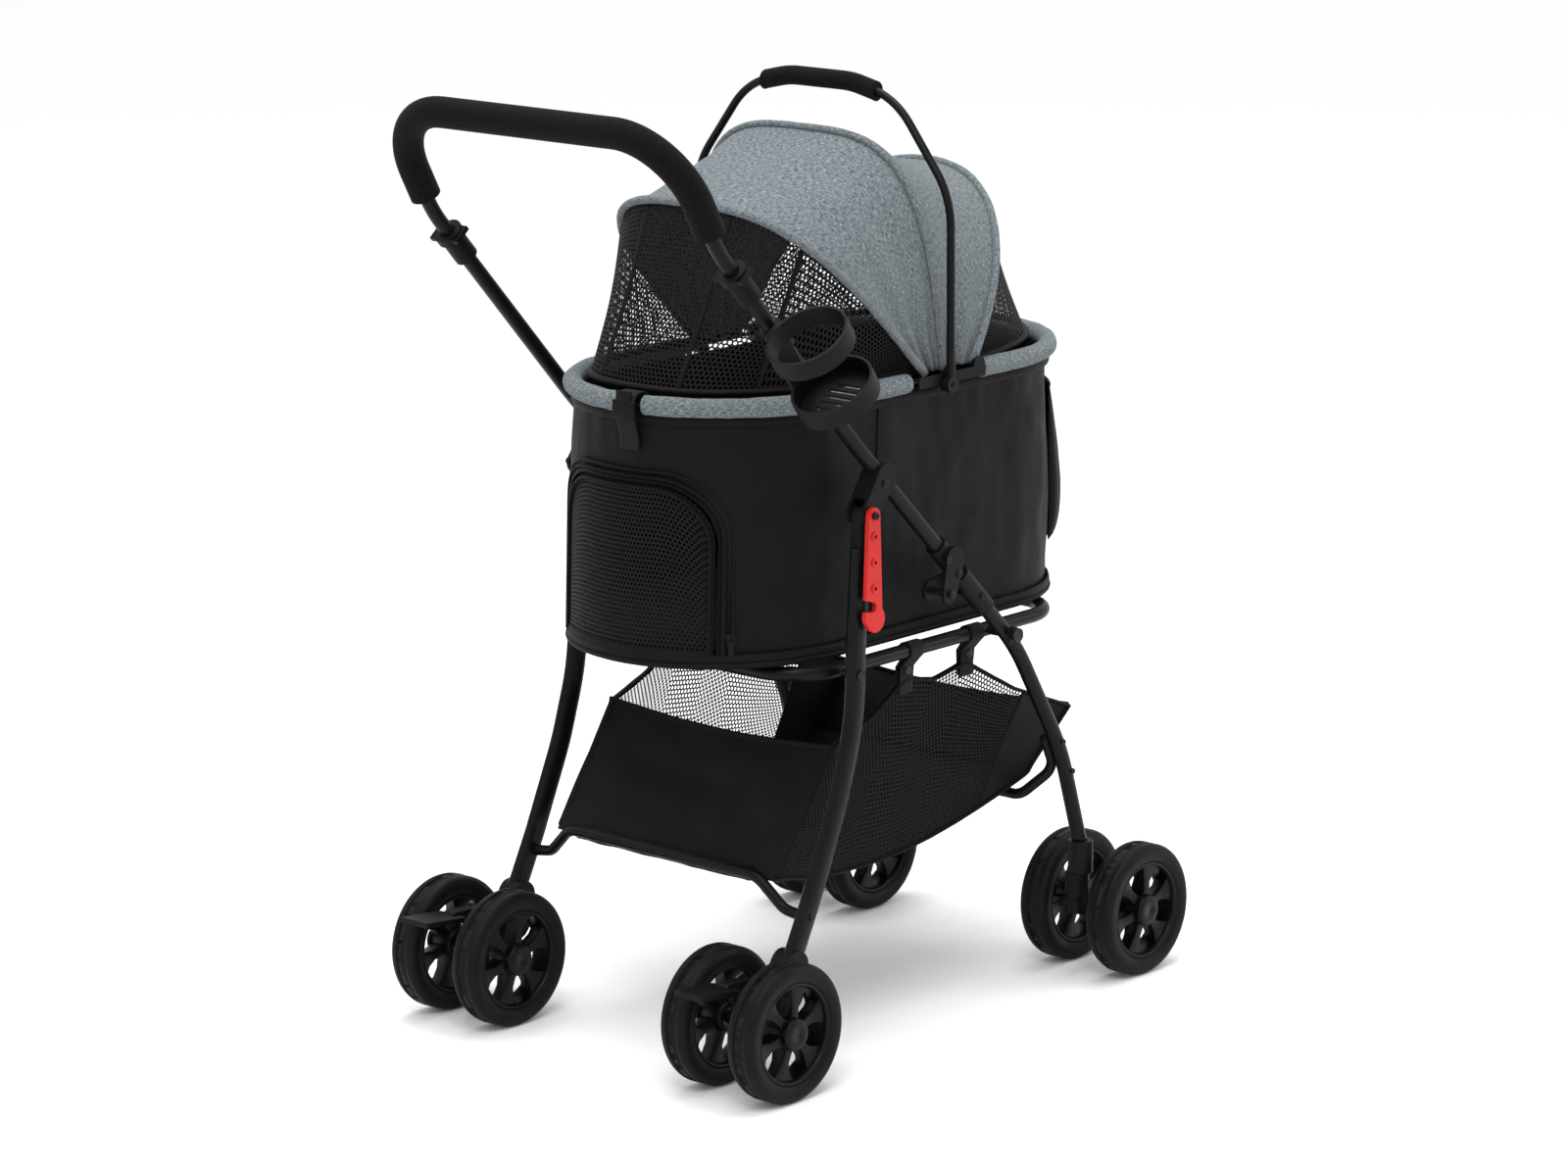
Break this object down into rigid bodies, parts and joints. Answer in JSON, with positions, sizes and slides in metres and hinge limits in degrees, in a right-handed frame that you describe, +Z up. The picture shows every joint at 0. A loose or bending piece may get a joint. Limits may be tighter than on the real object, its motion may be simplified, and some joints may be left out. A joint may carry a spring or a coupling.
{
  "type": "pet stroller",
  "caption": "Folding four-legged pet stroller: twin wheels, lift-off oval fabric carrier with mesh hood and carrying bail, under-basket, cup holder and push handle.",
  "frame": {"origin": "on the floor, at the bottom centre of the stroller's box", "axes": "+X is the travel direction, +Y is the stroller's left, +Z is up"},
  "size_m": [0.7954, 0.5784, 1.0345],
  "materials": {
    "frame_paint": "satin black powder coat over tube",
    "rivet_steel": "black oxide",
    "black_plastic": "fine moulded texture",
    "hub_plastic": "satin black",
    "tyre_foam": "matte, fine grooves",
    "grip_foam": "matte closed-cell foam",
    "black_cloth": "woven black cloth",
    "grey_cloth": "heather grey melange weave",
    "black_mesh": "open knitted mesh",
    "board": "covered board",
    "red_plastic": "satin red",
    "wire": "black coated"
  },
  "bodies": {
    "front_frame": {"front_leg_right": "frame_paint", "front_leg_left": "frame_paint", "fold_housings": "black_plastic", "fold_pins": "rivet_steel", "loop_studs": "rivet_steel", "front_cross_bar": "frame_paint", "caster_sockets": "black_plastic", "basket": "black_cloth"},
    "handle": {"handle_tube_right": "frame_paint", "handle_tube_left": "frame_paint", "grip_bar": "frame_paint", "grip_foam": "grip_foam", "leg_brackets": "black_plastic", "leg_pivot_pins": "rivet_steel", "fold_sleeves": "black_plastic", "cup_clamp": "black_plastic", "cup_holder": "black_plastic"},
    "rear_frame": {"rear_leg_right": "frame_paint", "rear_leg_left": "frame_paint", "rear_housings": "black_plastic", "rear_cross_bar": "frame_paint", "rear_axles": "rivet_steel", "loop_pivot_pins": "rivet_steel"},
    "support_loop": {"support_loop": "frame_paint"},
    "carrier": {"base_board": "board", "tub_wall": "black_cloth", "rim_wire": "wire", "rim_sleeve": "grey_cloth", "hood_hinges": "black_plastic", "front_hoop": "wire", "front_mesh": "black_mesh", "sleeping_pad": "black_cloth", "front_pocket": "black_cloth", "rim_strap": "black_plastic"},
    "mid_hoop": {"mid_hoop": "wire", "hood_front_panel": "grey_cloth"},
    "rear_hoop": {"rear_hoop": "wire", "hood_rear_panel": "grey_cloth", "rear_mesh": "black_mesh"},
    "carry_bail": {"bail_rod": "wire", "bail_foam": "grip_foam"},
    "rear_door": {"rear_door": "black_mesh"},
    "zip_slider": {"zip_slider": "black_plastic"},
    "red_hook": {"red_hook": "red_plastic"},
    "pull_collar_right": {"pull_collar_right": "black_plastic"},
    "brake_pedal_right": {"brake_pedal_right": "black_plastic"},
    "caster_right": {"caster_right": "black_plastic", "front_axle_right": "rivet_steel"},
    "pull_collar_left": {"pull_collar_left": "black_plastic"},
    "brake_pedal_left": {"brake_pedal_left": "black_plastic"},
    "caster_left": {"caster_left": "black_plastic", "front_axle_left": "rivet_steel"},
    "rear_wheel_right_outer": {"rear_wheel_right_outer": "tyre_foam"},
    "rear_wheel_right_inner": {"rear_wheel_right_inner": "tyre_foam"},
    "rear_wheel_left_outer": {"rear_wheel_left_outer": "tyre_foam"},
    "rear_wheel_left_inner": {"rear_wheel_left_inner": "tyre_foam"},
    "front_wheel_right_outer": {"front_wheel_right_outer": "tyre_foam"},
    "front_wheel_right_inner": {"front_wheel_right_inner": "tyre_foam"},
    "front_wheel_left_outer": {"front_wheel_left_outer": "tyre_foam"},
    "front_wheel_left_inner": {"front_wheel_left_inner": "tyre_foam"}
  },
  "joints": [
    {"name": "frame_fold", "type": "hinge", "parent": "front_frame", "child": "handle", "pos_m": [0.02975, 0.02225, 0.485], "axis": [0, -1, 0], "range_deg": [0, 135], "deforming": ["basket"]},
    {"name": "rear_leg_hinge", "type": "hinge", "parent": "handle", "child": "rear_frame", "pos_m": [-0.09725, 0.02225, 0.592], "axis": [0, 1, 0], "range_deg": [-1, 104.8]},
    {"name": "loop_hinge", "type": "hinge", "parent": "front_frame", "child": "support_loop", "pos_m": [0.13975, 0.02225, 0.42], "axis": [0, -1, 0], "range_deg": [-1, 91.5]},
    {"name": "carrier_lift", "type": "slide", "parent": "support_loop", "child": "carrier", "axis": [0, 0, 1], "range_m": [0, 0.62]},
    {"name": "mid_hoop_hinge", "type": "hinge", "parent": "carrier", "child": "mid_hoop", "pos_m": [0.07875, 0.02225, 0.716], "axis": [0, 1, 0], "range_deg": [0, 18], "deforming": ["hood_front_panel", "hood_rear_panel", "rear_mesh"]},
    {"name": "rear_hoop_hinge", "type": "hinge", "parent": "mid_hoop", "child": "rear_hoop", "pos_m": [0.07875, 0.02225, 0.716], "axis": [0, 1, 0], "range_deg": [0, 18]},
    {"name": "bail_hinge", "type": "hinge", "parent": "carrier", "child": "carry_bail", "pos_m": [0.07175, 0.02225, 0.703], "axis": [0, 1, 0], "range_deg": [-75, 75]},
    {"name": "rear_door_hinge", "type": "hinge", "parent": "carrier", "child": "rear_door", "pos_m": [-0.26325, 0.02225, 0.442], "axis": [0, -1, 0], "range_deg": [0, 100]},
    {"name": "zip_pull", "type": "slide", "parent": "carrier", "child": "zip_slider", "axis": [0, 0, 1], "range_m": [0, 0.11]},
    {"name": "hook_swing", "type": "hinge", "parent": "handle", "child": "red_hook", "pos_m": [-0.09725, -0.19475, 0.592], "axis": [0, -1, 0], "range_deg": [-60, 60]},
    {"name": "collar_slide_right", "type": "slide", "parent": "handle", "child": "pull_collar_right", "axis": [0.6725, 0, -0.7401], "range_m": [0, 0.012], "stiffness_N_per_m": 250, "springref_m": -0.004},
    {"name": "brake_press_right", "type": "hinge", "parent": "rear_frame", "child": "brake_pedal_right", "pos_m": [-0.27525, -0.17975, 0.118], "axis": [0, -1, 0], "range_deg": [0, 12]},
    {"name": "caster_swivel_right", "type": "hinge", "parent": "front_frame", "child": "caster_right", "pos_m": [0.27475, -0.17775, 0.096], "axis": [0, 0, 1], "continuous": true},
    {"name": "collar_slide_left", "type": "slide", "parent": "handle", "child": "pull_collar_left", "axis": [0.6725, 0, -0.7401], "range_m": [0, 0.012], "stiffness_N_per_m": 250, "springref_m": -0.004},
    {"name": "brake_press_left", "type": "hinge", "parent": "rear_frame", "child": "brake_pedal_left", "pos_m": [-0.27525, 0.22425, 0.118], "axis": [0, -1, 0], "range_deg": [0, 12]},
    {"name": "caster_swivel_left", "type": "hinge", "parent": "front_frame", "child": "caster_left", "pos_m": [0.27475, 0.22225, 0.096], "axis": [0, 0, 1], "continuous": true},
    {"name": "rear_wheel_right_outer_spin", "type": "hinge", "parent": "rear_frame", "child": "rear_wheel_right_outer", "pos_m": [-0.27325, -0.22675, 0.075], "axis": [0, 1, 0], "continuous": true},
    {"name": "rear_wheel_right_inner_spin", "type": "hinge", "parent": "rear_frame", "child": "rear_wheel_right_inner", "pos_m": [-0.27325, -0.13275, 0.075], "axis": [0, 1, 0], "continuous": true},
    {"name": "rear_wheel_left_outer_spin", "type": "hinge", "parent": "rear_frame", "child": "rear_wheel_left_outer", "pos_m": [-0.27325, 0.27125, 0.075], "axis": [0, 1, 0], "continuous": true},
    {"name": "rear_wheel_left_inner_spin", "type": "hinge", "parent": "rear_frame", "child": "rear_wheel_left_inner", "pos_m": [-0.27325, 0.17725, 0.075], "axis": [0, 1, 0], "continuous": true},
    {"name": "front_wheel_right_outer_spin", "type": "hinge", "parent": "caster_right", "child": "front_wheel_right_outer", "pos_m": [0.32275, -0.22475, 0.075], "axis": [0, 1, 0], "continuous": true},
    {"name": "front_wheel_right_inner_spin", "type": "hinge", "parent": "caster_right", "child": "front_wheel_right_inner", "pos_m": [0.32275, -0.13075, 0.075], "axis": [0, 1, 0], "continuous": true},
    {"name": "front_wheel_left_outer_spin", "type": "hinge", "parent": "caster_left", "child": "front_wheel_left_outer", "pos_m": [0.32275, 0.26925, 0.075], "axis": [0, 1, 0], "continuous": true},
    {"name": "front_wheel_left_inner_spin", "type": "hinge", "parent": "caster_left", "child": "front_wheel_left_inner", "pos_m": [0.32275, 0.17525, 0.075], "axis": [0, 1, 0], "continuous": true}
  ],
  "couplings": [
    {"joint": "rear_leg_hinge", "follows": "frame_fold", "ratio": 0.769},
    {"joint": "loop_hinge", "follows": "frame_fold", "ratio": 0.67},
    {"joint": "rear_hoop_hinge", "follows": "mid_hoop_hinge", "ratio": 1}
  ]
}
